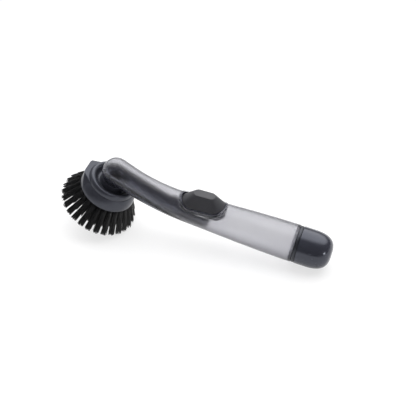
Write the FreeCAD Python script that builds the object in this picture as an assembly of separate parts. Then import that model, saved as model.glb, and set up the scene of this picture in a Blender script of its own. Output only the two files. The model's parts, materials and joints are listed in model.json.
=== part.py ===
import FreeCAD, Part
import math
import os
from FreeCAD import Placement, Rotation, Vector

# Soap-dispensing dish wand, lying as it rests on a table. All sizes are millimetres and degrees.
# Handle frame: origin at the centre of the joint between tube and cap, +X towards the cap, +Z up.
# Head frame: origin at the centre of the brush rim, +Z up into the neck, +X towards the handle.

# Clear tube and neck
GRIP_R = 17.6              # outer radius at the cap joint
WAIST_R = 12.4             # outer radius at the thinnest place of the neck
NOSE_R = 13.0              # outer radius of the domed end over the brush
TUBE_WALL = 2.0
TAPER_AT = 2.0             # from the joint to the start of the taper
WAIST_AT = 158.0           # from the joint to the waist, along the centreline
GRIP_RUN = 105.0           # straight stretch of the centreline
NECK_BEND_R = 190.0
NECK_BEND = 19.5
NECK_RUN = 14.0            # straight stretch after the bend
TUBE_RINGS = 12

# Mouth of the tube and its quick thread
MOUTH_WALL = 1.8
MOUTH_LENGTH = 10.0
SHOULDER = 2.5
THREAD_LEAD = 12.0
THREAD_STARTS = 2
THREAD_SWEEP = 120.0       # angle covered by each thread ridge
THREAD_HEIGHT = 0.8
THREAD_WIDTH = 2.0
THREAD_FLANK = 0.5         # axial run of each sloping flank
THREAD_AT = 4.2            # from the joint to the start of the tube's ridges
THREAD_BITE = 0.4          # how deep a ridge is rooted in its wall

# Cap
CAP_R = 17.6
CAP_STRAIGHT = 10.5
CAP_DOME = 20.2
CAP_FULLNESS = 0.43         # share of the cap's radius over which its end is nearly flat
CAP_WALL = 1.7
CAP_CORE_R = 11.5          # hollow behind the liner
CAP_CORE_DEPTH = 8.0
LINER_WALL = 1.3
LINER_END = 1.5
GASKET_T = 1.2
RING_WIDTH = 3.7           # seal ring between tube and cap
RING_INSET = 0.3           # ring's crest inside the cap's surface
RING_ROUND = 0.6

# Neck cover under the clear shell
SEAM_DROP = 1.5            # seam below the centre of the domed end
SEAM_TILT = 18.2
COVER_END_AT = 94.0        # from the joint to the blunt end of the cover
FLAT_DROP = 7.0            # flat underside below the neck's centreline
FLOOR_T = 2.5
LIP_T = 1.5                # locating lip inside the clear shell
LIP_RISE = 2.5
TONGUE_FROM = 127.0
TONGUE_TO = 87.0
TONGUE_ROUND = 2.5         # rounded upper corner at the tongue's end
TONGUE_TOP_FROM = 1.5      # height of the tongue's edge at its two ends
TONGUE_TOP_TO = -9.5
WELL_LENGTH = 20.0         # oval soap well in the floor
WELL_WIDTH = 10.0
WELL_DEPTH = 1.5
WELL_BACK = 3.5            # well centre behind the outlet

# Outlet spigot, its valve and its seal
NOSE_AHEAD = 2.0           # centre of the domed end ahead of the outlet axis
SPIGOT_R = 9.9
SPIGOT_LENGTH = 10.2
OUTLET_R = 5.5
VALVE_R = 7.2
VALVE_RIM_T = 1.2
VALVE_SKIN = 0.8
VALVE_SLIT = 6.0
VALVE_SLIT_GAP = 0.3
VALVE_DEPTH = 4.4          # from the spigot's end to the valve's seat
VALVE_RING_WALL = 2.0
VALVE_RING_RECESS = 0.4
O_RING_R = 1.0
O_RING_UP = 5.3            # from the spigot's end to the middle of its groove
O_RING_GAP = 0.05

# Push button
BUTTON_AT = 95.4           # from the joint to the middle of the button
COLLAR_LENGTH = 46.4
COLLAR_WIDTH = 26.0
COLLAR_WALL = 1.2
COLLAR_PROUD = 1.0         # above the tube's surface
LEDGE_Z = 7.5
LEDGE_T = 1.5
RETAINER_WALL = 1.0
RETAINER_PROUD = 0.5
SEAL_T = 1.2
BUTTON_TOP_LENGTH = 20.5
BUTTON_TOP_WIDTH = 9.6
BUTTON_TOP_Z = 22.6
BUTTON_SIDE_Z = 11.0       # heights where the long sides and the ends start to slope
BUTTON_END_Z = 13.6
BUTTON_TILT = 3.4          # the slopes and the top rise towards the cap, as the tube does
BUTTON_WALL = 2.0
BUTTON_ROOF = 2.5
BUTTON_EDGE_R = 1.0

# Brush head
HEAD_DROP = 26.0           # rim plane below the neck's centreline
RIM_R = 27.0
RIM_EDGE = 0.6
BLOCK_TOP_R = 22.9
BLOCK_HEIGHT = 11.0
BLOCK_BULGE = 0.9          # swell of the skirt outside the straight line
BLOCK_FLOOR = 8.0
BLOCK_RIM_WALL = 1.4
SOAP_HOLE_R = 2.5
SCRAPER_REACH = 27.4       # straight scraper edge from the head's axis
SCRAPER_HEIGHT = 12.5
SCRAPER_CORNER_R = 28.1    # its two rounded corners from the head's axis
SCRAPER_TURN = 58.0        # from the front to where its flanks leave the skirt
SCRAPER_SINK = 0.4         # depth of the flanks inside the skirt at that place
CREST_R = 20.0             # rounded collar round the dish
CREST_H = 16.0
CREST_OUTER_R = 22.7
DISH_FLOOR_R = 13.4
DISH_FLOOR_H = 10.6
SOCKET_WALL = 2.0
SOCKET_TOP_H = 17.0

# Tufts, in rings that stand evenly between the rim and the soap hole
TUFT_FLARE = {"tufts_outer": 28.8, "tufts_second": 20.0, "tufts_third": 12.0, "tufts_inner": 5.0}
TUFT_INSET = 3.4           # middle of the outer ring's tufts from the rim
TUFT_CLEAR = 4.6           # middle of the inner ring's tufts from the soap hole
RING_LAND = 1.7            # plastic between two rings, at the rim plane
TUFT_LAND = 1.5            # plastic between two tufts of a ring, about
TUFT_SPREAD = 0.6          # how much a tuft widens to its tip
TUFT_DEPTH = 6.0
TUFT_DROP = 23.4           # tips below the rim plane
ANCHOR_SHORT = 0.6         # anchor shorter than its hole is wide
ANCHOR_HEIGHT = 1.6
ANCHOR_T = 0.4

# Clearances
RUN_GAP = 0.3              # between pieces that move past each other
FIT_GAP = 0.1              # between pieces that are assembled and stay
FACE_GAP = 0.05            # between flat faces that part when the cap is opened

X_AXIS = Vector(1, 0, 0)
Y_AXIS = Vector(0, 1, 0)
Z_AXIS = Vector(0, 0, 1)
CENTRE = Vector(0, 0, 0)

BEND = math.radians(NECK_BEND)
NECK_END = GRIP_RUN + NECK_BEND_R * BEND + NECK_RUN
LINER_R = CAP_R - CAP_WALL - FIT_GAP
LINER_BORE_R = LINER_R - LINER_WALL
THREAD_CREST_R = LINER_BORE_R - RUN_GAP
MOUTH_R = THREAD_CREST_R - THREAD_HEIGHT
MOUTH_BORE_R = MOUTH_R - MOUTH_WALL
LINER_DEPTH = MOUTH_LENGTH + FACE_GAP + GASKET_T
CAP_TIP = CAP_STRAIGHT + CAP_DOME
CAP_END = ((CAP_TIP, CAP_R), (CAP_TIP, CAP_R * CAP_FULLNESS), (CAP_TIP, 0.0))
SOCKET_R = SPIGOT_R + RUN_GAP
SPIGOT_END_H = HEAD_DROP - FLAT_DROP - SPIGOT_LENGTH
TUFT_OUT_R = RIM_R - TUFT_INSET
TUFT_STEP = (TUFT_OUT_R - SOAP_HOLE_R - TUFT_CLEAR) / (len(TUFT_FLARE) - 1)
TUFT_ROOT_R = (TUFT_STEP - RING_LAND) / 2
TUFT_TIP_R = TUFT_ROOT_R + TUFT_SPREAD
ANCHOR_LENGTH = 2 * TUFT_ROOT_R - ANCHOR_SHORT
REACH = 2 * RIM_R          # past everything that a cutting block has to cover
ROUND = 0.5523            # handle length of a curve that follows a quarter of an ellipse
OUTLINE_POINTS = 400       # places along the cap's end that are tried against the table
LIE_EXACT = 1e-9           # radians to which the resting angle is found


def point_xz(pair):
    return Vector(pair[0], 0, pair[1])


def curve_xz(here, step):
    """Smooth curve from here by way of two handles to an end"""
    curve = Part.BezierCurve()
    curve.setPoles([here] + [point_xz(pair) for pair in step])
    return curve.toShape()


def wire_xz(start, *steps):
    """Closed wire in the XZ plane: a step is a point, a (middle, end) arc or a (handle, handle, end) curve"""
    edges = []
    here = point_xz(start)
    for step in steps:
        if not isinstance(step[0], tuple):
            end = point_xz(step)
            edges.append(Part.LineSegment(here, end).toShape())
        elif len(step) == 2:
            end = point_xz(step[1])
            edges.append(Part.Arc(here, point_xz(step[0]), end).toShape())
        else:
            end = point_xz(step[2])
            edges.append(curve_xz(here, step))
        here = end
    edges.append(Part.LineSegment(here, point_xz(start)).toShape())
    return Part.Wire(edges)


def turned(axis, start, *steps):
    """Solid turned about an axis through the origin"""
    return Part.Face(wire_xz(start, *steps)).revolve(CENTRE, axis, 360)


def side_prism(start, *steps):
    """Outline in the XZ plane, drawn out to both sides"""
    face = Part.Face(wire_xz(start, *steps))
    face.translate(Y_AXIS * -REACH)
    return face.extrude(Y_AXIS * (2 * REACH))


def stadium_wire(length, width, x, z):
    r = width / 2
    run = length / 2 - r
    near = [Vector(x - run, -r, z), Vector(x + run, -r, z)]
    far = [Vector(x + run, r, z), Vector(x - run, r, z)]
    return Part.Wire([
        Part.LineSegment(near[0], near[1]).toShape(),
        Part.Arc(near[1], Vector(x + run + r, 0, z), far[0]).toShape(),
        Part.LineSegment(far[0], far[1]).toShape(),
        Part.Arc(far[1], Vector(x - run - r, 0, z), near[0]).toShape(),
    ])


def stadium(length, width, x, low, high):
    """Upright block with round ends"""
    return Part.Face(stadium_wire(length, width, x, low)).extrude(Z_AXIS * (high - low))


def rod(radius, start, end):
    """Cylinder along the handle's axis"""
    return Part.makeCylinder(radius, end - start, X_AXIS * start, X_AXIS)


def post(radius, low, high):
    """Cylinder along the head's axis"""
    return Part.makeCylinder(radius, high - low, Z_AXIS * low)


def ease(t):
    t = min(max(t, 0.0), 1.0)
    return t * t * (3 - 2 * t)


def centreline(s):
    """Point and direction of the handle's centreline at s from the joint, towards the head"""
    if s <= GRIP_RUN:
        return X_AXIS * -s, X_AXIS * -1
    angle = min((s - GRIP_RUN) / NECK_BEND_R, BEND)
    along = Vector(-math.cos(angle), 0, math.sin(angle))
    bent = Vector(-GRIP_RUN - NECK_BEND_R * math.sin(angle), 0, NECK_BEND_R * (1 - math.cos(angle)))
    return bent + along * max(0.0, s - GRIP_RUN - NECK_BEND_R * BEND), along


def tube_radius(s):
    if s <= WAIST_AT:
        return GRIP_R + (WAIST_R - GRIP_R) * ease((s - TAPER_AT) / (WAIST_AT - TAPER_AT))
    return WAIST_R + (NOSE_R - WAIST_R) * ease((s - WAIST_AT) / (NECK_END - WAIST_AT))


def tube(offset, start):
    """The handle's body with its radius changed by offset, from start to its domed end"""
    rings = []
    for i in range(TUBE_RINGS):
        s = start + (NECK_END - start) * i / (TUBE_RINGS - 1)
        middle, along = centreline(s)
        rings.append(Part.Wire(Part.Circle(middle, along, tube_radius(s) + offset).toShape()))
    end, along = centreline(NECK_END)
    dome = Part.makeSphere(NOSE_R + offset, end, along, 0, 90, 360)
    return Part.makeLoft(rings, True).fuse(dome)


NOSE, NECK_ALONG = centreline(NECK_END)
OUTLET = NOSE - NECK_ALONG * NOSE_AHEAD
HEAD_UP = Vector(math.sin(BEND), 0, math.cos(BEND))
HEAD_PLACE = Placement(OUTLET - HEAD_UP * HEAD_DROP, Rotation(Y_AXIS, NECK_BEND))


def on_head(shape):
    """Moves a piece drawn in the head frame to its place on the handle"""
    placed = shape.copy()
    placed.Placement = HEAD_PLACE.multiply(placed.Placement)
    return placed


def seam_z(x, rise=0.0):
    """Height of the seam between clear shell and cover"""
    slope = math.tan(math.radians(SEAM_TILT))
    return NOSE.z - SEAM_DROP + rise - (x - NOSE.x) * slope


def below_seam(rise):
    ahead = NOSE.x - REACH
    end = -COVER_END_AT
    return side_prism((end, seam_z(end, rise)), (ahead, seam_z(ahead, rise)), (ahead, -REACH), (end, -REACH))


def thread(root_r, crest_r, at):
    """Quick-thread ridges on a wall of root_r, around the handle's axis"""
    inward = math.copysign(1, crest_r - root_r)
    base_r = root_r - inward * THREAD_BITE
    half = THREAD_WIDTH / 2
    profile = wire_xz(
        (base_r, -half), (root_r, -half), (crest_r, THREAD_FLANK - half),
        (crest_r, half - THREAD_FLANK), (root_r, half), (base_r, half),
    )
    rise = THREAD_LEAD * THREAD_SWEEP / 360
    sweep = Part.BRepOffsetAPI.MakePipeShell(Part.makeHelix(THREAD_LEAD, rise, root_r))
    sweep.setBiNormalMode(Z_AXIS)
    sweep.add(profile)
    sweep.build()
    sweep.makeSolid()
    ridge = Part.Solid(sweep.shape())
    if ridge.Volume < 0:
        ridge.reverse()
    ridges = []
    for i in range(THREAD_STARTS):
        copy = ridge.copy()
        copy.rotate(CENTRE, Z_AXIS, 360 * i / THREAD_STARTS)
        copy.rotate(CENTRE, Y_AXIS, 90)
        copy.translate(X_AXIS * at)
        ridges.append(copy)
    return ridges


def reservoir_shell():
    """Clear tube and neck in one moulding, with the button's collar and the threaded mouth"""
    button_x = -BUTTON_AT
    pocket_length = COLLAR_LENGTH - 2 * COLLAR_WALL
    pocket_width = COLLAR_WIDTH - 2 * COLLAR_WALL
    hole_length = pocket_length - 2 * (FIT_GAP + RETAINER_WALL)
    hole_width = pocket_width - 2 * (FIT_GAP + RETAINER_WALL)
    ledge_low = LEDGE_Z - LEDGE_T
    collar = stadium(COLLAR_LENGTH, COLLAR_WIDTH, button_x, ledge_low, REACH)
    collar = collar.common(tube(COLLAR_PROUD, RING_WIDTH))
    hollow = tube(-TUBE_WALL, RING_WIDTH + SHOULDER)
    mouth = rod(MOUTH_R, -RING_WIDTH - SHOULDER / 2, MOUTH_LENGTH)
    mouth = mouth.fuse(thread(MOUTH_R, THREAD_CREST_R, THREAD_AT))
    land = rod(THREAD_CREST_R, -RING_WIDTH - SHOULDER / 2, 0.0)
    body = tube(0.0, RING_WIDTH).cut(hollow).cut(below_seam(0.0))
    body = body.fuse([collar, mouth, land])
    body = body.cut(rod(MOUTH_BORE_R, -RING_WIDTH - 2 * SHOULDER, MOUTH_LENGTH + SHOULDER))
    body = body.cut(stadium(pocket_length, pocket_width, button_x, LEDGE_Z, REACH))
    return body.cut(stadium(hole_length, hole_width, button_x, 0.0, REACH))


def neck_cover():
    """Dark underside of the neck: trough, locating lip, tongue, soap well and outlet spigot"""
    lip_r = -TUBE_WALL - FIT_GAP
    flat_h = HEAD_DROP - FLAT_DROP
    floor_h = flat_h + FLOOR_T
    start = RING_WIDTH + SHOULDER
    corner = (-TONGUE_TO, TONGUE_TOP_TO)
    tongue = side_prism(
        (-TONGUE_FROM, TONGUE_TOP_FROM), (-TONGUE_TO - TONGUE_ROUND, TONGUE_TOP_TO),
        (corner, corner, (-TONGUE_TO, TONGUE_TOP_TO - TONGUE_ROUND)), (-TONGUE_TO, -REACH),
        (-TONGUE_FROM, -REACH),
    )
    slab = Part.makeBox(4 * REACH, 2 * REACH, REACH, Vector(-2 * REACH, -REACH, 0))
    under = slab.copy()
    under.translate(Z_AXIS * (flat_h - REACH))
    above_floor = slab.copy()
    above_floor.translate(Z_AXIS * floor_h)
    lip = tube(lip_r, start).common(below_seam(LIP_RISE).fuse(tongue))
    trough = tube(0.0, RING_WIDTH).common(below_seam(0.0)).fuse(lip)
    trough = trough.cut(tube(lip_r - LIP_T, start).common(on_head(above_floor)))
    trough = trough.cut(on_head(under))
    spigot = post(SPIGOT_R, SPIGOT_END_H, flat_h + FLOOR_T / 2)
    groove_h = SPIGOT_END_H + O_RING_UP
    groove = post(SPIGOT_R + RUN_GAP, groove_h - O_RING_R - FIT_GAP, groove_h + O_RING_R + FIT_GAP)
    groove = groove.cut(post(SOCKET_R - O_RING_GAP - 2 * O_RING_R - FIT_GAP, 0.0, REACH))
    seat_h = SPIGOT_END_H + VALVE_DEPTH
    spigot = spigot.cut(groove)
    well = stadium(WELL_LENGTH, WELL_WIDTH, WELL_BACK, floor_h - WELL_DEPTH, floor_h + FLOOR_T)
    body = trough.fuse(on_head(spigot))
    body = body.cut(on_head(post(OUTLET_R, 0.0, floor_h + FLOOR_T)))
    body = body.cut(on_head(post(VALVE_R + FIT_GAP, 0.0, seat_h)))
    return body.cut(on_head(well))


def outlet_valve():
    """Silicone disc with a thin middle and a cross slit, which opens when the button is pressed"""
    top = SPIGOT_END_H + VALVE_DEPTH
    low = top - VALVE_RIM_T
    skin_r = VALVE_R - VALVE_RING_WALL
    disc = post(VALVE_R, low, top).cut(post(skin_r, low + VALVE_SKIN, top))
    slit = Part.makeBox(VALVE_SLIT, VALVE_SLIT_GAP, REACH, Vector(-VALVE_SLIT / 2, -VALVE_SLIT_GAP / 2, 0))
    cross = slit.copy()
    cross.rotate(CENTRE, Z_AXIS, 90)
    return on_head(disc.cut([slit, cross]))


def valve_retainer():
    """Ring pressed into the spigot's end, holding the valve"""
    top = SPIGOT_END_H + VALVE_DEPTH - VALVE_RIM_T
    low = SPIGOT_END_H + VALVE_RING_RECESS
    return on_head(post(VALVE_R, low, top).cut(post(VALVE_R - VALVE_RING_WALL, low, top)))


def spigot_o_ring():
    centre_r = SOCKET_R - O_RING_GAP - O_RING_R
    ring = Part.makeTorus(centre_r, O_RING_R, Z_AXIS * (SPIGOT_END_H + O_RING_UP))
    return on_head(ring)


def button_ring(gap, wall, low, high):
    """Ring in the button's pocket, gap inside the pocket's wall"""
    length = COLLAR_LENGTH - 2 * (COLLAR_WALL + gap)
    width = COLLAR_WIDTH - 2 * (COLLAR_WALL + gap)
    ring = stadium(length, width, -BUTTON_AT, low, high)
    return ring.cut(stadium(length - 2 * wall, width - 2 * wall, -BUTTON_AT, low, high))


def button_retainer():
    """Dark ring that holds the button's seal in the collar, its top following the tube"""
    ring = button_ring(FIT_GAP, RETAINER_WALL, LEDGE_Z + SEAL_T, REACH)
    return ring.common(tube(RETAINER_PROUD, RING_WIDTH))


def button_seal():
    """Silicone flange under the retainer"""
    return button_ring(FIT_GAP, RETAINER_WALL, LEDGE_Z, LEDGE_Z + SEAL_T)


def button():
    """Hollow silicone button with sloping sides and a flat top"""
    inset = COLLAR_WALL + FIT_GAP + RETAINER_WALL + RUN_GAP
    length = COLLAR_LENGTH - 2 * inset
    width = COLLAR_WIDTH - 2 * inset
    foot = LEDGE_Z - LEDGE_T
    side_share = BUTTON_TOP_Z / (BUTTON_TOP_Z - BUTTON_SIDE_Z)
    end_share = BUTTON_TOP_Z / (BUTTON_TOP_Z - BUTTON_END_Z)
    foot_width = BUTTON_TOP_WIDTH + (width - BUTTON_TOP_WIDTH) * side_share
    foot_length = BUTTON_TOP_LENGTH + (length - BUTTON_TOP_LENGTH) * end_share
    slopes = Part.makeLoft([
        stadium_wire(foot_length, foot_width, -BUTTON_AT, 0.0),
        stadium_wire(BUTTON_TOP_LENGTH, BUTTON_TOP_WIDTH, -BUTTON_AT, BUTTON_TOP_Z),
    ], True, True)
    slopes.rotate(Vector(-BUTTON_AT, 0, BUTTON_TOP_Z), Y_AXIS, -BUTTON_TILT)
    outside = stadium(length, width, -BUTTON_AT, foot, REACH).common(slopes)
    top = max(outside.Faces, key=lambda face: face.CenterOfMass.z)
    outside = outside.makeFillet(BUTTON_EDGE_R, top.Edges)
    inner_slopes = slopes.copy()
    inner_slopes.translate(Z_AXIS * -BUTTON_ROOF)
    inside = stadium(length - 2 * BUTTON_WALL, width - 2 * BUTTON_WALL, -BUTTON_AT, foot, REACH)
    return outside.cut(inside.common(inner_slopes))


def cap_shell():
    """Domed cap with a straight land, bored for its liner"""
    bore_r = CAP_R - CAP_WALL
    seat_x = LINER_DEPTH + LINER_END
    return turned(
        X_AXIS, (FACE_GAP, bore_r), (FACE_GAP, CAP_R), (CAP_STRAIGHT, CAP_R), CAP_END,
        (seat_x + CAP_CORE_DEPTH, 0), (seat_x + CAP_CORE_DEPTH, CAP_CORE_R), (seat_x, CAP_CORE_R),
        (seat_x, bore_r),
    )


def cap_liner():
    """Threaded cup inside the cap"""
    seat_x = LINER_DEPTH + LINER_END
    cup = rod(LINER_R, FACE_GAP, seat_x).cut(rod(LINER_BORE_R, -FACE_GAP, LINER_DEPTH))
    below = THREAD_AT - THREAD_WIDTH - RUN_GAP
    return cup.fuse(thread(LINER_BORE_R, LINER_BORE_R - THREAD_HEIGHT, below))


def mouth_gasket():
    """Flat washer in the liner, sealing the end of the mouth"""
    low = MOUTH_LENGTH + FACE_GAP
    disc = rod(LINER_BORE_R - FIT_GAP, low, LINER_DEPTH)
    return disc.cut(rod(MOUTH_BORE_R, low, LINER_DEPTH))


def cap_seal_ring():
    """Ring round the mouth's land, between the tube's shoulder and the cap, which clears the thread"""
    low = FACE_GAP - RING_WIDTH
    inner_r = THREAD_CREST_R + RUN_GAP
    crest_r = CAP_R - RING_INSET
    edge_r = crest_r - RING_ROUND
    return turned(
        X_AXIS, (low, inner_r), (low, edge_r), ((low / 2, crest_r), (0, edge_r)), (0, inner_r),
    )


def tuft_frames(ring):
    """Places of one ring of tufts at the rim plane, pointing down and outwards"""
    ring_r = TUFT_OUT_R - TUFT_STEP * list(TUFT_FLARE).index(ring)
    count = round(2 * math.pi * ring_r / (2 * TUFT_ROOT_R + TUFT_LAND))
    lean = Rotation(Y_AXIS, 180 - TUFT_FLARE[ring])
    frames = []
    for i in range(count):
        turn = Rotation(Z_AXIS, 360 * (i + 0.5) / count)
        frames.append(Placement(turn.multVec(X_AXIS * ring_r), turn.multiply(lean)))
    return frames


def placed_copies(shape, frames):
    copies = []
    for frame in frames:
        copy = shape.copy()
        copy.Placement = frame
        copies.append(copy)
    return copies


def anchor_plate():
    """Flat wire that a tuft is folded round, at the bottom of its hole"""
    corner = Vector(-ANCHOR_LENGTH / 2, -ANCHOR_T / 2, -TUFT_DEPTH)
    return Part.makeBox(ANCHOR_LENGTH, ANCHOR_T, ANCHOR_HEIGHT, corner)


def anchor_slot():
    corner = Vector(-ANCHOR_LENGTH / 2 - FIT_GAP, -ANCHOR_T / 2 - FIT_GAP, -TUFT_DEPTH)
    return Part.makeBox(
        ANCHOR_LENGTH + 2 * FIT_GAP, ANCHOR_T + 2 * FIT_GAP, ANCHOR_HEIGHT + FIT_GAP, corner)


def tuft_length(ring):
    """Length of a tuft from the rim plane, so that all tips end in one plane"""
    return TUFT_DROP / math.cos(math.radians(TUFT_FLARE[ring]))


def tuft(ring):
    """One tuft with its root in its hole, drawn along +Z from the rim plane"""
    length = tuft_length(ring)
    bundle = turned(
        Z_AXIS, (0, -TUFT_DEPTH), (TUFT_ROOT_R, -TUFT_DEPTH), (TUFT_ROOT_R, 0),
        (TUFT_TIP_R, length), (0, length),
    )
    return bundle.cut(anchor_slot())


def tuft_groups():
    groups = {}
    for ring in TUFT_FLARE:
        copies = placed_copies(tuft(ring), tuft_frames(ring))
        groups[ring] = on_head(Part.makeCompound(copies))
    return groups


def tuft_anchors():
    plates = []
    for ring in TUFT_FLARE:
        plates += placed_copies(anchor_plate(), tuft_frames(ring))
    return on_head(Part.makeCompound(plates))


def scraper():
    """Lip with a straight front edge, its flanks flat and tangent to the skirt"""
    turn = math.radians(SCRAPER_TURN)
    slope = (RIM_R - BLOCK_TOP_R) / (BLOCK_HEIGHT - RIM_EDGE)
    back = (BLOCK_TOP_R - SCRAPER_SINK) * math.cos(turn)
    foot_r = RIM_R - SCRAPER_SINK
    profile = (
        (foot_r, RIM_EDGE), (SCRAPER_REACH, SCRAPER_HEIGHT), (back, BLOCK_HEIGHT), (back, RIM_EDGE),
    )
    flanks = []
    for side in (-1, 1):
        corners = []
        for ahead, height in profile:
            off_axis = foot_r - (height - RIM_EDGE) * slope
            out = (off_axis - ahead * math.cos(turn)) / math.sin(turn)
            corners.append(Vector(-ahead, side * out, height))
        flanks.append(Part.makePolygon(corners + corners[:1]))
    cone = Part.makeCone(foot_r, SCRAPER_CORNER_R, SCRAPER_HEIGHT - RIM_EDGE, Z_AXIS * RIM_EDGE)
    return Part.makeLoft(flanks, True, True).common(cone)


def bristle_block():
    """Brush body: tapered skirt, scraper lip at the front, tuft holes and a soap hole"""
    middle = ((RIM_R + BLOCK_TOP_R) / 2 + BLOCK_BULGE, (RIM_EDGE + BLOCK_HEIGHT) / 2)
    recess_r = BLOCK_TOP_R - BLOCK_RIM_WALL
    skirt = turned(
        Z_AXIS, (0, 0), (RIM_R - RIM_EDGE, 0), (RIM_R, RIM_EDGE), (middle, (BLOCK_TOP_R, BLOCK_HEIGHT)),
        (recess_r, BLOCK_HEIGHT), (recess_r, BLOCK_FLOOR), (0, BLOCK_FLOOR),
    )
    lip = scraper().cut(post(recess_r, BLOCK_FLOOR, BLOCK_HEIGHT))
    lip = lip.cut(post(CREST_OUTER_R + FIT_GAP, BLOCK_HEIGHT, CREST_H))
    block = skirt.fuse(lip).cut(post(SOAP_HOLE_R, -RIM_EDGE, BLOCK_FLOOR))
    hole = Part.makeCylinder(TUFT_ROOT_R + FIT_GAP, 2 * TUFT_DEPTH, Z_AXIS * -TUFT_DEPTH)
    holes = []
    for ring in TUFT_FLARE:
        holes += placed_copies(hole, tuft_frames(ring))
    return on_head(block.cut(holes))


def head_cover():
    """Rounded collar and dish on top of the brush, with the socket for the spigot"""
    recess_r = BLOCK_TOP_R - BLOCK_RIM_WALL - FIT_GAP
    boss_r = SOCKET_R + SOCKET_WALL
    step_h = BLOCK_HEIGHT + FIT_GAP
    half_run = (CREST_R - DISH_FLOOR_R) / 2
    shoulder_r = CREST_R + (CREST_OUTER_R - CREST_R) * ROUND
    shoulder_h = CREST_H - (CREST_H - step_h) * (1 - ROUND)
    return on_head(turned(
        Z_AXIS, (SOCKET_R, BLOCK_FLOOR), (SOCKET_R, SOCKET_TOP_H), (boss_r, SOCKET_TOP_H),
        (boss_r, DISH_FLOOR_H), (DISH_FLOOR_R, DISH_FLOOR_H),
        ((DISH_FLOOR_R + half_run, DISH_FLOOR_H), (CREST_R - half_run, CREST_H), (CREST_R, CREST_H)),
        ((shoulder_r, CREST_H), (CREST_OUTER_R, shoulder_h), (CREST_OUTER_R, step_h)),
        (recess_r, step_h), (recess_r, BLOCK_FLOOR),
    ))


def lowest_tip(lie):
    """Lowest point of the outer tufts when the handle lies at this angle"""
    tilt = Rotation(Y_AXIS, math.degrees(lie))
    length = tuft_length("tufts_outer")
    heights = []
    for frame in tuft_frames("tufts_outer"):
        whole = Placement(CENTRE, tilt).multiply(HEAD_PLACE).multiply(frame)
        along = whole.Rotation.multVec(Z_AXIS)
        heights.append(whole.multVec(Z_AXIS * length).z - TUFT_TIP_R * math.hypot(along.x, along.y))
    return min(heights)


def lowest_cap(lie):
    """Lowest point of the cap's end when the handle lies at this angle"""
    outline = curve_xz(point_xz((CAP_STRAIGHT, CAP_R)), CAP_END).discretize(OUTLINE_POINTS)
    return -max(point.x * math.sin(lie) + point.z * math.cos(lie) for point in outline)


def lie_angle():
    """Angle at which tuft tips and cap both touch the table"""
    low = 0.0
    high = math.pi / 4
    while high - low > LIE_EXACT:
        lie = (low + high) / 2
        if lowest_tip(lie) < lowest_cap(lie):
            low = lie
        else:
            high = lie
    return low


def rest_place(parts):
    """Turns the wand onto the table and centres it over the origin"""
    lie = lie_angle()
    lean = Rotation(Y_AXIS, math.degrees(lie))
    ends = []
    for name in ("tufts_outer", "bristle_block", "cap_shell"):
        shape = parts[name].copy()
        shape.Placement = Placement(CENTRE, lean).multiply(shape.Placement)
        ends.append(shape.optimalBoundingBox(False, False))
    middle_x = (min(box.XMin for box in ends) + max(box.XMax for box in ends)) / 2
    return Placement(Vector(-middle_x, 0, -lowest_cap(lie)), lean)


def main():
    parts = {
        "reservoir_shell": reservoir_shell(),
        "neck_cover": neck_cover(),
        "outlet_valve": outlet_valve(),
        "valve_retainer": valve_retainer(),
        "spigot_o_ring": spigot_o_ring(),
        "button_retainer": button_retainer(),
        "button_seal": button_seal(),
        "button": button(),
        "cap_seal_ring": cap_seal_ring(),
        "cap_shell": cap_shell(),
        "cap_liner": cap_liner(),
        "mouth_gasket": mouth_gasket(),
        "bristle_block": bristle_block(),
        "head_cover": head_cover(),
        "tuft_anchors": tuft_anchors(),
    }
    parts.update(tuft_groups())
    place = rest_place(parts)
    os.makedirs("parts", exist_ok=True)
    for name, shape in parts.items():
        shape.Placement = place.multiply(shape.Placement)
        shape.exportStep("parts/" + name + ".step")
        print(name, len(shape.Solids), round(shape.Volume, 1), shape.isValid())


main()
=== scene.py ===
import json
import math
import random

import bmesh
import bpy
from mathutils import Matrix, Vector


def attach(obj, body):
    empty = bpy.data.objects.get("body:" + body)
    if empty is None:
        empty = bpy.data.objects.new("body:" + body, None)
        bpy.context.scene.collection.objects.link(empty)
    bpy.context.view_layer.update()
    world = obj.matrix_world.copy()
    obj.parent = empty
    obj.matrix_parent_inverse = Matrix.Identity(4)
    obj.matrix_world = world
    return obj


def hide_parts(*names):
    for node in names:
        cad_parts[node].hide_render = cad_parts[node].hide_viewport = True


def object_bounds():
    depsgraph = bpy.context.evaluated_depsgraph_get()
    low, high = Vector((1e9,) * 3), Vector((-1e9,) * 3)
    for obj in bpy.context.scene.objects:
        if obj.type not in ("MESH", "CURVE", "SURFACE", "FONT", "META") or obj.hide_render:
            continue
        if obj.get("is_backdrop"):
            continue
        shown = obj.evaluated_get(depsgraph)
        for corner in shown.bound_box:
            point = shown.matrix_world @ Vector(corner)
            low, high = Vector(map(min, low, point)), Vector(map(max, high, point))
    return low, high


# Dish wand lying on a white table: clear smoke tube, charcoal plastics, silicone button and nylon tufts.
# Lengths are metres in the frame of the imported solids, angles are degrees, colours are written in sRGB bytes.

# Camera
IMAGE_SIDE = 416
FOCAL_PIXELS = 1085.0
SENSOR_MM = 36.0
VIEW_AZIMUTH = 17.95
VIEW_ELEVATION = 40.1
VIEW_DISTANCE = 1.0
VIEW_TARGET = Vector((0.01265, 0.0, 0.04037))

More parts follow.
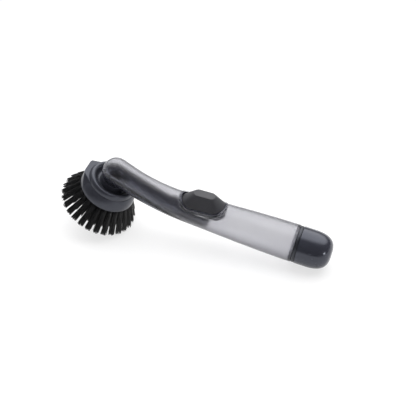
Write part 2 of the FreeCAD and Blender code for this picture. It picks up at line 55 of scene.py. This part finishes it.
# Studio
FLOOR_HALF = 6.0
FLOOR_COLOUR = (232, 232, 233)
FLOOR_ROUGH = 0.9
FLOOR_LIFT = 0.6           # share of plain white in the table where it is looked at
LIFT_GLOW = 1.14
PLAIN_FROM = 0.24           # distance from the wand where the table starts to turn plain white
PLAIN_TO = 0.55
AMBIENT = 0.35
LIGHT_WAY = Vector((-0.168, 0.518, 0.839)).normalized()     # from the wand to the overhead light
LIGHT_DISTANCE = 1.3
LIGHT_FULL = 25.0           # the light is even to this angle from its middle
LIGHT_END = 50.0            # and has faded out at this one
LIGHT_SQUEEZE = 0.6         # of the angles along the wand, where the light is longer
LIGHT_RIM = 62.0
LIGHT_RADIANCE = 2.85
DOME_RADIUS = 2.4           # dark room round the set, seen only in reflections
DOME_ROWS = 9
DOME_SIDES = 32
DOME_COLOUR = (46, 46, 50)
DOME_FOOT = 0.003
DOME_TOP = 89.9             # rise of its last row, just short of a point
FRONT_PLACE = (1.0, -0.46, 0.216)       # small lamp that puts a spark on the cap's end
FRONT_AIM = (0.12, 0.0, 0.03)
FRONT_WIDTH = 0.16
FRONT_DEPTH = 0.14
FRONT_RADIANCE = 17.0

# Plastics
PLASTIC_IOR = 1.55
PLASTIC_TINT = (0.84, 0.88, 1.0, 1.0)
NEUTRAL_TINT = (1.0, 1.0, 1.0, 1.0)
CLOUD_TONES = (0.96, 1.04)  # of the colour, in the flow clouds
CLOUD_ROUGH = (0.92, 1.08)
RUB_SHARE = 0.35            # how far an edge is rubbed towards its paler tone
RUB_TONE = 1.35
MARK_SHARE = 0.25
MARK_TONE = 1.3
MARK_SCUFF = 0.12           # roughness that a mark adds
MARK_TURN = (0.5, 0.3, 0.9)
MARK_DRAW = (0.04, 1.0, 1.0)

# Painted shade in the soap well of the neck cover
WELL_PLACE = (-0.0747, 0.0, 0.0538)
WELL_TILT = 27.99
WELL_HALF = (0.0105, 0.0055, 0.004)
# painted shade: dark colour that stands in for the shade falling in the well
WELL_SHADE_COLOUR = (14, 14, 17)
WELL_EDGE = (1.15, 0.9)     # where its shade starts and is full, in shares of its half sizes

# Clear tube
SMOKE_COLOUR = (186, 186, 192)
SMOKE_DENSITY = 310.0       # of the smoke, per metre of plastic
SMOKE_HAZE = 0.285
SMOKE_IOR = 1.4
SMOKE_CLOUDS = ((249, 249, 250), (253, 253, 253))
SMOKE_SHADOW = (236, 236, 240)
SMOKE_RIPPLE = 0.00003
RIPPLE_STRENGTH = 0.1
MARK_HAZE = 1.5             # of the haze, in a mark

# Filaments
FILAMENTS_PER_TUFT = 56
FILAMENT_R = 0.00024
FILAMENT_SIDES = 6
FILAMENT_STATIONS = (0.0, 0.3, 0.62, 0.9, 0.992, 1.0)
FILAMENT_TAPERS = (1.0, 1.0, 1.0, 0.98, 0.9, 0.55)
FILAMENT_LEAN = 0.0007      # how far a tip strays from its place in the tuft
TUFT_STRETCH = 1.3          # of a tuft's tip along its ring
FILAMENT_BOW = 0.00022
FILAMENT_SHORT = 0.0024     # how much shorter than the tuft a filament may be
ROOT_SINK = 0.0025          # how deep the filaments start inside their hole
ROOT_GATHER = 0.86          # of a filament's place across the tuft, at its root
END_TRIES = 3
END_SHARE = 0.02            # of a tuft's length that counts as its end
FIRST_SEED = 11
NYLON_TONES = ((7, 7, 9), (20, 20, 23))
NYLON_TIP = (36, 36, 40)
TIP_FROM = 0.93
TIP_SHARE = 0.35
NYLON_ROUGH = (0.3, 0.46)
WELD = 1e-6

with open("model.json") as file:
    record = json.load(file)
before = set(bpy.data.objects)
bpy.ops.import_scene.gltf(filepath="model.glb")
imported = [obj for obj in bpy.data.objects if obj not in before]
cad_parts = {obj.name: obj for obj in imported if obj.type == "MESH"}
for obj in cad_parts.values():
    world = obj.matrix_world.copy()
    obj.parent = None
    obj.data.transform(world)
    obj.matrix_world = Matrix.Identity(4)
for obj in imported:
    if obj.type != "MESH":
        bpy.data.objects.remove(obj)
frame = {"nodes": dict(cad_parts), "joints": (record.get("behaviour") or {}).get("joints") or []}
cad_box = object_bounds()
scene = bpy.context.scene


def linear(colour):
    """Linear RGBA of an sRGB colour in bytes"""
    values = []
    for byte in colour:
        share = byte / 255
        values.append(share / 12.92 if share <= 0.04045 else ((share + 0.055) / 1.055) ** 2.4)
    return (*values, 1.0)


def shaded(colour, by):
    return tuple(min(255.0, byte * by) for byte in colour)


# Node trees

def add(tree, kind, **settings):
    node = tree.nodes.new("ShaderNode" + kind)
    for name, value in settings.items():
        setattr(node, name, value)
    return node


def wire(tree, source, target):
    tree.links.new(source, target)


def new_group(name, inputs, outputs):
    """Empty node group with named sockets"""
    tree = bpy.data.node_groups.new(name, "ShaderNodeTree")
    for label, value in inputs.items():
        socket = tree.interface.new_socket(label, in_out="INPUT", socket_type="NodeSocketFloat")
        socket.default_value = value
    for label, kind in outputs.items():
        tree.interface.new_socket(label, in_out="OUTPUT", socket_type="NodeSocket" + kind)
    return tree, tree.nodes.new("NodeGroupInput"), tree.nodes.new("NodeGroupOutput")


def placed(tree, group, **values):
    node = tree.nodes.new("ShaderNodeGroup")
    node.node_tree = group
    for label, value in values.items():
        node.inputs[label.replace("_", " ")].default_value = value
    return node


def ranged(tree, source, low, high, to_low, to_high):
    """Source mapped from low..high to to_low..to_high"""
    node = add(tree, "MapRange")
    wire(tree, source, node.inputs["Value"])
    for label, value in zip(("From Min", "From Max", "To Min", "To Max"), (low, high, to_low, to_high)):
        node.inputs[label].default_value = value
    return node.outputs["Result"]


def calculated(tree, operation, first, second):
    node = add(tree, "Math", operation=operation)
    for socket, value in zip(node.inputs, (first, second)):
        if isinstance(value, float):
            socket.default_value = value
        else:
            wire(tree, value, socket)
    return node.outputs[0]


def blended(tree, factor, first, second):
    """Colour between first and second; each is an sRGB colour or a socket"""
    node = add(tree, "Mix", data_type="RGBA")
    wire(tree, factor, node.inputs[0])
    for socket, value in zip(node.inputs[6:8], (first, second)):
        if isinstance(value, tuple):
            socket.default_value = linear(value)
        else:
            wire(tree, value, socket)
    return node.outputs[2]


def noise(tree, scale, detail, where):
    node = add(tree, "TexNoise")
    node.inputs["Detail"].default_value = detail
    wire(tree, where, node.inputs["Vector"])
    wire(tree, scale, node.inputs["Scale"])
    return node.outputs["Fac"]


def moulded_skin():
    """Fine tool grain and slow flow clouds of an injection-moulded surface"""
    tree, start, end = new_group(
        "moulded_skin", {"Grain Scale": 2600.0, "Cloud Scale": 60.0}, {"Grain": "Float", "Cloud": "Float"})
    where = add(tree, "TexCoord").outputs["Object"]
    wire(tree, noise(tree, start.outputs["Grain Scale"], 2.0, where), end.inputs["Grain"])
    cloud = noise(tree, start.outputs["Cloud Scale"], 3.0, where)
    wire(tree, ranged(tree, cloud, 0.34, 0.66, 0.0, 1.0), end.inputs["Cloud"])
    return tree


def rounded_edges():
    """Normals that run round the edges of a piece, and a mask of those edges"""
    tree, start, end = new_group("rounded_edges", {"Radius": 0.0004}, {"Normal": "Vector", "Edge": "Float"})
    bevel = add(tree, "Bevel", samples=6)
    wire(tree, start.outputs["Radius"], bevel.inputs["Radius"])
    flat = add(tree, "NewGeometry").outputs["Normal"]
    along = add(tree, "VectorMath", operation="DOT_PRODUCT")
    wire(tree, bevel.outputs["Normal"], along.inputs[0])
    wire(tree, flat, along.inputs[1])
    wire(tree, bevel.outputs["Normal"], end.inputs["Normal"])
    wire(tree, ranged(tree, along.outputs["Value"], 1.0, 0.8, 0.0, 1.0), end.inputs["Edge"])
    return tree


def handling_marks():
    """Sparse hairline marks from handling, long in one direction"""
    tree, start, end = new_group("handling_marks", {"Scale": 700.0}, {"Marks": "Float"})
    where = add(tree, "TexCoord").outputs["Object"]
    drawn = add(tree, "Mapping")
    drawn.inputs["Rotation"].default_value = MARK_TURN
    drawn.inputs["Scale"].default_value = MARK_DRAW
    wire(tree, where, drawn.inputs["Vector"])
    streaks = noise(tree, start.outputs["Scale"], 1.0, drawn.outputs["Vector"])
    hairs = ranged(tree, streaks, 0.66, 0.72, 0.0, 1.0)
    patch_scale = calculated(tree, "MULTIPLY", start.outputs["Scale"], 0.12)
    patches = ranged(tree, noise(tree, patch_scale, 2.0, where), 0.5, 0.62, 0.0, 1.0)
    wire(tree, calculated(tree, "MULTIPLY", hairs, patches), end.inputs["Marks"])
    return tree


SKIN = moulded_skin()
EDGES = rounded_edges()
MARKS = handling_marks()


def new_material(name):
    material = bpy.data.materials.new(name)
    material.use_nodes = True
    tree = material.node_tree
    return material, tree, tree.nodes["Principled BSDF"]


def bumped(tree, height, distance, strength, normal=None):
    node = add(tree, "Bump")
    node.inputs["Distance"].default_value = distance
    node.inputs["Strength"].default_value = strength
    wire(tree, height, node.inputs["Height"])
    if normal:
        wire(tree, normal, node.inputs["Normal"])
    return node.outputs["Normal"]


def charcoal(name, colour, rough, grain, edge, grain_scale=2600.0, tint=PLASTIC_TINT):
    """Dark moulded plastic or rubber: grain, flow clouds, hairline marks and softened edges"""
    material, tree, shader = new_material(name)
    skin = placed(tree, SKIN, Grain_Scale=grain_scale)
    edges = placed(tree, EDGES, Radius=edge)
    marks = placed(tree, MARKS)
    tone = blended(tree, skin.outputs["Cloud"], *(shaded(colour, by) for by in CLOUD_TONES))
    rubbed = calculated(tree, "MULTIPLY", edges.outputs["Edge"], RUB_SHARE)
    tone = blended(tree, rubbed, tone, shaded(colour, RUB_TONE))
    marked = calculated(tree, "MULTIPLY", marks.outputs["Marks"], MARK_SHARE)
    tone = blended(tree, marked, tone, shaded(colour, MARK_TONE))
    wire(tree, tone, shader.inputs["Base Color"])
    cloudy = ranged(tree, skin.outputs["Cloud"], 0.0, 1.0, *(rough * by for by in CLOUD_ROUGH))
    scuffed = calculated(tree, "MULTIPLY", marks.outputs["Marks"], MARK_SCUFF)
    wire(tree, calculated(tree, "ADD", cloudy, scuffed), shader.inputs["Roughness"])
    height = skin.outputs["Grain"]
    wire(tree, bumped(tree, height, grain, 1.0, edges.outputs["Normal"]), shader.inputs["Normal"])
    shader.inputs["IOR"].default_value = PLASTIC_IOR
    shader.inputs["Specular Tint"].default_value = tint
    return material


def painted_well_shade(material):
    """Painted shade: darkens the oval well over the outlet, for the shade that falls in the recess"""
    tree = material.node_tree
    where = add(tree, "TexCoord").outputs["Object"]
    from_well = add(tree, "VectorMath", operation="SUBTRACT")
    wire(tree, where, from_well.inputs[0])
    from_well.inputs[1].default_value = WELL_PLACE
    turned = add(tree, "VectorRotate", rotation_type="Y_AXIS")
    wire(tree, from_well.outputs[0], turned.inputs["Vector"])
    turned.inputs["Angle"].default_value = math.radians(-WELL_TILT)
    scaled = add(tree, "VectorMath", operation="DIVIDE")
    wire(tree, turned.outputs[0], scaled.inputs[0])
    scaled.inputs[1].default_value = WELL_HALF
    far = add(tree, "VectorMath", operation="LENGTH")
    wire(tree, scaled.outputs[0], far.inputs[0])
    inside = ranged(tree, far.outputs["Value"], *WELL_EDGE, 0.0, 1.0)
    base = tree.nodes["Principled BSDF"].inputs["Base Color"]
    plain = base.links[0].from_socket
    # painted shade blended into the base colour inside the well
    wire(tree, blended(tree, inside, plain, WELL_SHADE_COLOUR), base)
    return material


def smoke_clear():
    """Clear plastic with a grey smoke in its thickness and a light haze"""
    material, tree, shader = new_material("smoke_clear")
    skin = placed(tree, SKIN, Grain_Scale=90.0, Cloud_Scale=45.0)
    marks = placed(tree, MARKS, Scale=520.0)
    wire(tree, blended(tree, skin.outputs["Cloud"], *SMOKE_CLOUDS), shader.inputs["Base Color"])
    haze = ranged(tree, marks.outputs["Marks"], 0.0, 1.0, SMOKE_HAZE, MARK_HAZE * SMOKE_HAZE)
    wire(tree, haze, shader.inputs["Roughness"])
    wire(tree, bumped(tree, skin.outputs["Grain"], SMOKE_RIPPLE, RIPPLE_STRENGTH), shader.inputs["Normal"])
    shader.inputs["Transmission Weight"].default_value = 1.0
    shader.inputs["IOR"].default_value = SMOKE_IOR
    lit = add(tree, "BsdfTransparent")
    lit.inputs["Color"].default_value = linear(SMOKE_SHADOW)
    choice = add(tree, "MixShader")
    wire(tree, add(tree, "LightPath").outputs["Is Shadow Ray"], choice.inputs[0])
    wire(tree, shader.outputs["BSDF"], choice.inputs[1])
    wire(tree, lit.outputs["BSDF"], choice.inputs[2])
    out = tree.nodes["Material Output"]
    wire(tree, choice.outputs["Shader"], out.inputs["Surface"])
    smoke = add(tree, "VolumeAbsorption")
    smoke.inputs["Color"].default_value = linear(SMOKE_COLOUR)
    smoke.inputs["Density"].default_value = SMOKE_DENSITY
    wire(tree, smoke.outputs["Volume"], out.inputs["Volume"])
    return material


def black_nylon():
    """Nylon filament: each one its own tone, a little paler towards its cut tip"""
    material, tree, shader = new_material("black_nylon")
    tone = add(tree, "Attribute", attribute_name="filament_tone").outputs["Fac"]
    along = add(tree, "Attribute", attribute_name="filament_along").outputs["Fac"]
    skin = placed(tree, SKIN, Grain_Scale=5200.0, Cloud_Scale=300.0)
    body = blended(tree, tone, *NYLON_TONES)
    tip = ranged(tree, along, TIP_FROM, 1.0, 0.0, TIP_SHARE)
    wire(tree, blended(tree, tip, body, NYLON_TIP), shader.inputs["Base Color"])
    wire(tree, ranged(tree, tone, 0.0, 1.0, *NYLON_ROUGH), shader.inputs["Roughness"])
    wire(tree, bumped(tree, skin.outputs["Grain"], 0.00002, 0.6), shader.inputs["Normal"])
    return material


def drawn_wire():
    """Flat drawn brass of the tuft anchors"""
    material, tree, shader = new_material("drawn_wire")
    skin = placed(tree, SKIN, Grain_Scale=1800.0, Cloud_Scale=200.0)
    marks = placed(tree, MARKS, Scale=2400.0)
    tone = blended(tree, skin.outputs["Cloud"], (176, 146, 88), (202, 172, 110))
    wire(tree, tone, shader.inputs["Base Color"])
    wire(tree, ranged(tree, marks.outputs["Marks"], 0.0, 1.0, 0.28, 0.5), shader.inputs["Roughness"])
    wire(tree, bumped(tree, skin.outputs["Grain"], 0.00002, 0.5), shader.inputs["Normal"])
    shader.inputs["Metallic"].default_value = 1.0
    return material


def dress(material, *nodes):
    for name in nodes:
        slots = frame["nodes"][name].data.materials
        slots.clear()
        slots.append(material)


CAP_GLOSS = charcoal("cap_gloss", (52, 53, 61), 0.2, 0.000004, 0.0004)
HEAD_SATIN = charcoal("head_satin", (52, 53, 60), 0.33, 0.000008, 0.0005)
COVER_SATIN = charcoal("cover_satin", (50, 51, 59), 0.26, 0.000006, 0.0004)
# neck cover satin with the painted shade of its soap well
NECK_SATIN = painted_well_shade(charcoal("neck_satin", (50, 51, 59), 0.26, 0.000006, 0.0004))
RING_RUBBER = charcoal("ring_rubber", (38, 39, 44), 0.42, 0.00001, 0.0003)
BUTTON_SILICONE = charcoal("button_silicone", (48, 48, 53), 0.56, 0.000014, 0.0008, 3600.0, NEUTRAL_TINT)
SEAL_RUBBER = charcoal("seal_rubber", (30, 30, 34), 0.5, 0.00001, 0.0002)
LINER_PLASTIC = charcoal("liner_plastic", (58, 58, 64), 0.4, 0.000008, 0.0002)

dress(smoke_clear(), "reservoir_shell")
dress(CAP_GLOSS, "cap_shell")
dress(NECK_SATIN, "neck_cover")
dress(COVER_SATIN, "button_retainer")
dress(HEAD_SATIN, "bristle_block", "head_cover")
dress(RING_RUBBER, "cap_seal_ring")
dress(BUTTON_SILICONE, "button")
dress(SEAL_RUBBER, "outlet_valve", "spigot_o_ring", "button_seal", "mouth_gasket")
dress(LINER_PLASTIC, "cap_liner", "valve_retainer")
dress(drawn_wire(), "tuft_anchors")


# Tufts of separate filaments

def solids_of(node):
    """Corner points of each separate solid of a node"""
    mesh = bmesh.new()
    mesh.from_mesh(frame["nodes"][node].data)
    bmesh.ops.remove_doubles(mesh, verts=mesh.verts, dist=WELD)
    mesh.verts.index_update()
    mesh.verts.ensure_lookup_table()
    seen = [False] * len(mesh.verts)
    groups = []
    for first in range(len(mesh.verts)):
        if seen[first]:
            continue
        seen[first] = True
        waiting = [mesh.verts[first]]
        group = []
        while waiting:
            corner = waiting.pop()
            group.append(corner.co.copy())
            for edge in corner.link_edges:
                other = edge.other_vert(corner)
                if not seen[other.index]:
                    seen[other.index] = True
                    waiting.append(other)
        groups.append(group)
    mesh.free()
    return groups


def middle(points):
    return sum(points, Vector()) / len(points)


def end_discs(points, along):
    """Middles and radii of a tuft's root and tip, found along a rough direction"""
    for _ in range(END_TRIES):
        reach = [p.dot(along) for p in points]
        low, high = min(reach), max(reach)
        edge = (high - low) * END_SHARE
        root = [p for p, r in zip(points, reach) if r < low + edge]
        tip = [p for p, r in zip(points, reach) if r > high - edge]
        along = (middle(tip) - middle(root)).normalized()
    return middle(root), middle(tip), max((p - middle(tip)).length for p in tip)


def filament_rings(root, tip, radius, round_ring, draw):
    """Filaments of one tuft, each a list of ring middles from root to tip"""
    along = (tip - root).normalized()
    length = (tip - root).length
    side = along.orthogonal().normalized()
    other = along.cross(side)
    spin = draw.uniform(0.0, 2 * math.pi)
    golden = math.pi * (3 - math.sqrt(5))
    for i in range(FILAMENTS_PER_TUFT):
        out = math.sqrt((i + 0.5) / FILAMENTS_PER_TUFT) * (radius - FILAMENT_R)
        turn = spin + i * golden
        way = side * math.cos(turn) + other * math.sin(turn)
        start = way * out * ROOT_GATHER
        lean = draw.uniform(0.0, 2 * math.pi)
        stray = (side * math.cos(lean) + other * math.sin(lean)) * draw.uniform(0.0, FILAMENT_LEAN)
        finish = way * out + stray
        over = finish.length - (radius - FILAMENT_R)
        if over > 0:
            finish *= 1 - over / finish.length
        finish += round_ring * finish.dot(round_ring) * (TUFT_STRETCH - 1)
        bow = way.cross(along) * draw.uniform(-FILAMENT_BOW, FILAMENT_BOW)
        reach = length - draw.uniform(0.0, 1.0) ** 2 * FILAMENT_SHORT
        yield [
            root + along * reach * s + start.lerp(finish, s) + bow * math.sin(math.pi * s)
            for s in FILAMENT_STATIONS
        ], along


def tuft_ring(name, node, seed):
    """All filaments of one ring of tufts as one mesh"""
    draw = random.Random(seed)
    head_up = -Vector(next(j for j in frame["joints"] if j["name"] == "head_pull")["axis"])
    tufts = solids_of(node)
    centre = middle([middle(points) for points in tufts])
    side = head_up.orthogonal().normalized()
    other = head_up.cross(side)

    def bearing(points):
        out = middle(points) - centre
        return math.atan2(out.dot(other), out.dot(side))

    tufts.sort(key=bearing)
    corners, faces, tones, alongs = [], [], [], []
    for points in tufts:
        root, tip, radius = end_discs(points, -head_up)
        root = root + (tip - root).normalized() * ROOT_SINK
        round_ring = head_up.cross(tip - centre).normalized()
        for rings, along in filament_rings(root, tip, radius, round_ring, draw):
            tone = draw.random()
            first = len(corners)
            across = along.orthogonal().normalized()
            over = along.cross(across)
            for ring, taper, share in zip(rings, FILAMENT_TAPERS, FILAMENT_STATIONS):
                for k in range(FILAMENT_SIDES):
                    turn = 2 * math.pi * k / FILAMENT_SIDES
                    out = across * math.cos(turn) + over * math.sin(turn)
                    corners.append(ring + out * FILAMENT_R * taper)
                    tones.append(tone)
                    alongs.append(share)
            for level in range(len(rings) - 1):
                low = first + level * FILAMENT_SIDES
                for k in range(FILAMENT_SIDES):
                    next_k = (k + 1) % FILAMENT_SIDES
                    high = low + FILAMENT_SIDES
                    faces.append((low + k, low + next_k, high + next_k, high + k))
            last = first + (len(rings) - 1) * FILAMENT_SIDES
            faces.append(tuple(first + k for k in reversed(range(FILAMENT_SIDES))))
            faces.append(tuple(last + k for k in range(FILAMENT_SIDES)))
    mesh = bpy.data.meshes.new(name)
    mesh.from_pydata(corners, [], faces)
    mesh.attributes.new("filament_tone", "FLOAT", "POINT").data.foreach_set("value", tones)
    mesh.attributes.new("filament_along", "FLOAT", "POINT").data.foreach_set("value", alongs)
    mesh.polygons.foreach_set("use_smooth", [True] * len(mesh.polygons))
    mesh.materials.append(NYLON)
    mesh.update()
    piece = bpy.data.objects.new(name, mesh)
    scene.collection.objects.link(piece)
    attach(piece, "brush_head")
    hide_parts(node)
    return piece


NYLON = black_nylon()
for number, ring in enumerate(("outer", "second", "third", "inner")):
    tuft_ring("filaments_" + ring, "tufts_" + ring, FIRST_SEED + number)


# Studio

def studio_sheet(name, corners, faces, material):
    mesh = bpy.data.meshes.new(name)
    mesh.from_pydata(corners, [], faces)
    mesh.materials.append(material)
    sheet = bpy.data.objects.new(name, mesh)
    scene.collection.objects.link(sheet)
    sheet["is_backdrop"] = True
    return sheet


def background_rays(tree):
    """1 for rays that look at the background directly, in a gloss or through the clear tube"""
    path = add(tree, "LightPath")
    seen = calculated(tree, "MAXIMUM", path.outputs["Is Camera Ray"], path.outputs["Is Glossy Ray"])
    return calculated(tree, "MAXIMUM", seen, path.outputs["Is Transmission Ray"])


def table_white():
    """White table that keeps the soft shadow near the wand and turns plain white away from it"""
    material, tree, shader = new_material("table_white")
    shader.inputs["Base Color"].default_value = linear(FLOOR_COLOUR)
    shader.inputs["Roughness"].default_value = FLOOR_ROUGH
    shader.inputs["Specular IOR Level"].default_value = 0.0
    where = add(tree, "NewGeometry").outputs["Position"]
    far = add(tree, "VectorMath", operation="LENGTH")
    wire(tree, where, far.inputs[0])
    plain = ranged(tree, far.outputs["Value"], PLAIN_FROM, PLAIN_TO, FLOOR_LIFT, 1.0)
    white = add(tree, "Emission")
    glow = ranged(tree, far.outputs["Value"], PLAIN_FROM, PLAIN_TO, LIFT_GLOW, 1.0)
    wire(tree, glow, white.inputs["Strength"])
    choice = add(tree, "MixShader")
    wire(tree, calculated(tree, "MULTIPLY", background_rays(tree), plain), choice.inputs[0])
    wire(tree, shader.outputs["BSDF"], choice.inputs[1])
    wire(tree, white.outputs["Emission"], choice.inputs[2])
    wire(tree, choice.outputs["Shader"], tree.nodes["Material Output"].inputs["Surface"])
    return material


def dark_room():
    """Even dark grey that only reflections see"""
    material, tree, shader = new_material("dark_room")
    glow = add(tree, "Emission")
    glow.inputs["Color"].default_value = linear(DOME_COLOUR)
    wire(tree, glow.outputs["Emission"], tree.nodes["Material Output"].inputs["Surface"])
    return material


def dark_dome():
    """Half sphere over the set, which keeps the white world out of the reflections"""
    corners, faces = [], []
    for row in range(DOME_ROWS + 1):
        rise = math.radians(DOME_TOP * row / DOME_ROWS)
        out = DOME_RADIUS * math.cos(rise)
        up = DOME_FOOT + DOME_RADIUS * math.sin(rise)
        for k in range(DOME_SIDES):
            turn = 2 * math.pi * k / DOME_SIDES
            corners.append((out * math.cos(turn), out * math.sin(turn), up))
    for row in range(DOME_ROWS):
        low = row * DOME_SIDES
        for k in range(DOME_SIDES):
            next_k = (k + 1) % DOME_SIDES
            high = low + DOME_SIDES
            faces.append((low + k, low + next_k, high + next_k, high + k))
    dome = studio_sheet("dark_dome", corners, faces, dark_room())
    for ray in ("camera", "diffuse", "transmission", "shadow"):
        setattr(dome, "visible_" + ray, False)


half = FLOOR_HALF
table_corners = [(-half, -half, 0), (half, -half, 0), (half, half, 0), (-half, half, 0)]
studio_sheet("table", table_corners, [(0, 1, 2, 3)], table_white())
dark_dome()


def softbox(name, place, aim, width, depth, radiance):
    """Area lamp of even radiance"""
    lamp = bpy.data.lights.new(name, "AREA")
    lamp.shape = "RECTANGLE"
    lamp.size = width
    lamp.size_y = depth
    lamp.energy = radiance * math.pi * width * depth
    holder = bpy.data.objects.new(name, lamp)
    scene.collection.objects.link(holder)
    holder.location = place
    holder.rotation_euler = (Vector(aim) - Vector(place)).to_track_quat("-Z", "Y").to_euler()
    holder.visible_camera = False
    return holder


def overhead_light():
    """Long lamp over the wand, even in its middle and fading towards its edge"""
    lamp = bpy.data.lights.new("overhead", "AREA")
    lamp.shape = "DISK"
    lamp.size = 2 * LIGHT_DISTANCE * math.tan(math.radians(LIGHT_RIM))
    lamp.energy = LIGHT_RADIANCE * math.pi * math.pi * lamp.size ** 2 / 4
    lamp.use_nodes = True
    tree = lamp.node_tree
    squeeze = Vector((LIGHT_SQUEEZE, 1.0, 1.0))
    squeezed = add(tree, "VectorMath", operation="MULTIPLY")
    wire(tree, add(tree, "NewGeometry").outputs["Position"], squeezed.inputs[0])
    squeezed.inputs[1].default_value = squeeze
    way = add(tree, "VectorMath", operation="NORMALIZE")
    wire(tree, squeezed.outputs[0], way.inputs[0])
    near = add(tree, "VectorMath", operation="DOT_PRODUCT")
    wire(tree, way.outputs[0], near.inputs[0])
    near.inputs[1].default_value = (LIGHT_WAY * squeeze).normalized()
    edge, even = math.cos(math.radians(LIGHT_END)), math.cos(math.radians(LIGHT_FULL))
    glow = ranged(tree, near.outputs["Value"], edge, even, 0.0, 1.0)
    glow.node.interpolation_type = "SMOOTHSTEP"
    wire(tree, glow, tree.nodes["Emission"].inputs["Strength"])
    holder = bpy.data.objects.new("overhead", lamp)
    scene.collection.objects.link(holder)
    holder.location = LIGHT_WAY * LIGHT_DISTANCE
    holder.rotation_euler = (-LIGHT_WAY).to_track_quat("-Z", "Y").to_euler()
    holder.visible_camera = False


overhead_light()
softbox("front_right", FRONT_PLACE, FRONT_AIM, FRONT_WIDTH, FRONT_DEPTH, FRONT_RADIANCE)

world = bpy.data.worlds.new("studio")
scene.world = world
world.use_nodes = True
sky = world.node_tree
backdrop = sky.nodes["Background"]
backdrop.inputs["Color"].default_value = (1.0, 1.0, 1.0, 1.0)
wire(sky, ranged(sky, background_rays(sky), 0.0, 1.0, AMBIENT, 1.0), backdrop.inputs["Strength"])
scene.view_settings.view_transform = "Standard"

# Camera
lens = bpy.data.cameras.new("photo_camera")
lens.sensor_width = SENSOR_MM
lens.lens = FOCAL_PIXELS * SENSOR_MM / IMAGE_SIDE
camera = bpy.data.objects.new("photo_camera", lens)
scene.collection.objects.link(camera)
turn = math.radians(VIEW_AZIMUTH)
rise = math.radians(VIEW_ELEVATION)
back = Vector((math.sin(turn) * math.cos(rise), -math.cos(turn) * math.cos(rise), math.sin(rise)))
camera.location = VIEW_TARGET + back * VIEW_DISTANCE
camera.rotation_euler = (-back).to_track_quat("-Z", "Y").to_euler()
scene.camera = camera

boxes = {"cad": cad_box, "visual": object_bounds()}
{name: [list(corner) for corner in box] for name, box in boxes.items()}
